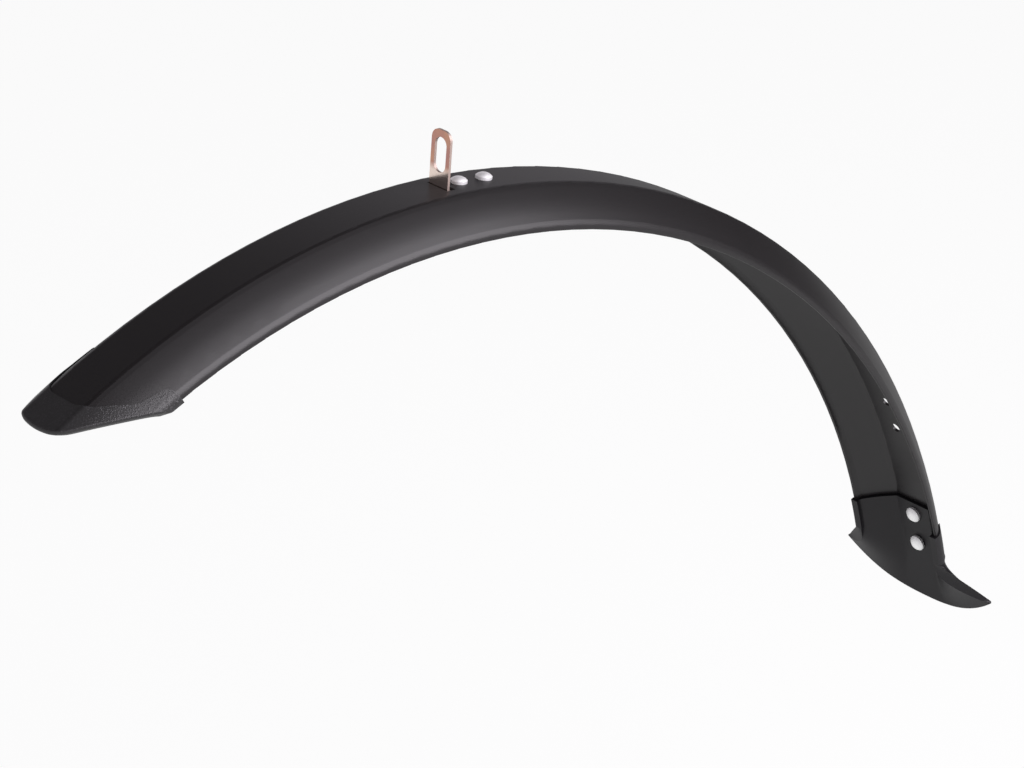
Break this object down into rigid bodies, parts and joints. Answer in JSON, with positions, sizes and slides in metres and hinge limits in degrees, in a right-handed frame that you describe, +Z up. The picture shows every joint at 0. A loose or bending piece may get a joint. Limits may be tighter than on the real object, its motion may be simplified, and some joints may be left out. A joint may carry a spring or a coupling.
{
  "type": "bicycle mudguard",
  "caption": "Curved channel-section mudguard with a slotted fork bracket, a scooped rubber nose cap and a flared rubber mud flap.",
  "frame": {"origin": "middle of the fork slot, on the front face of the bracket", "axes": "+X to the rear of the bicycle, +Z up when fitted, Y along the wheel's axle"},
  "size_m": [0.5519, 0.0962, 0.3073],
  "materials": {
    "blade_plastic": "satin black",
    "bracket_steel": "bright plated steel",
    "rivet_metal": "bright",
    "cap_rubber": "grained black",
    "flap_rubber": "satin black"
  },
  "bodies": {
    "root": {"blade": "blade_plastic", "fork_bracket": "bracket_steel", "bracket_rivets": "rivet_metal", "nose_cap": "cap_rubber", "mud_flap": "flap_rubber", "flap_rivets": "rivet_metal"}
  },
  "joints": []
}
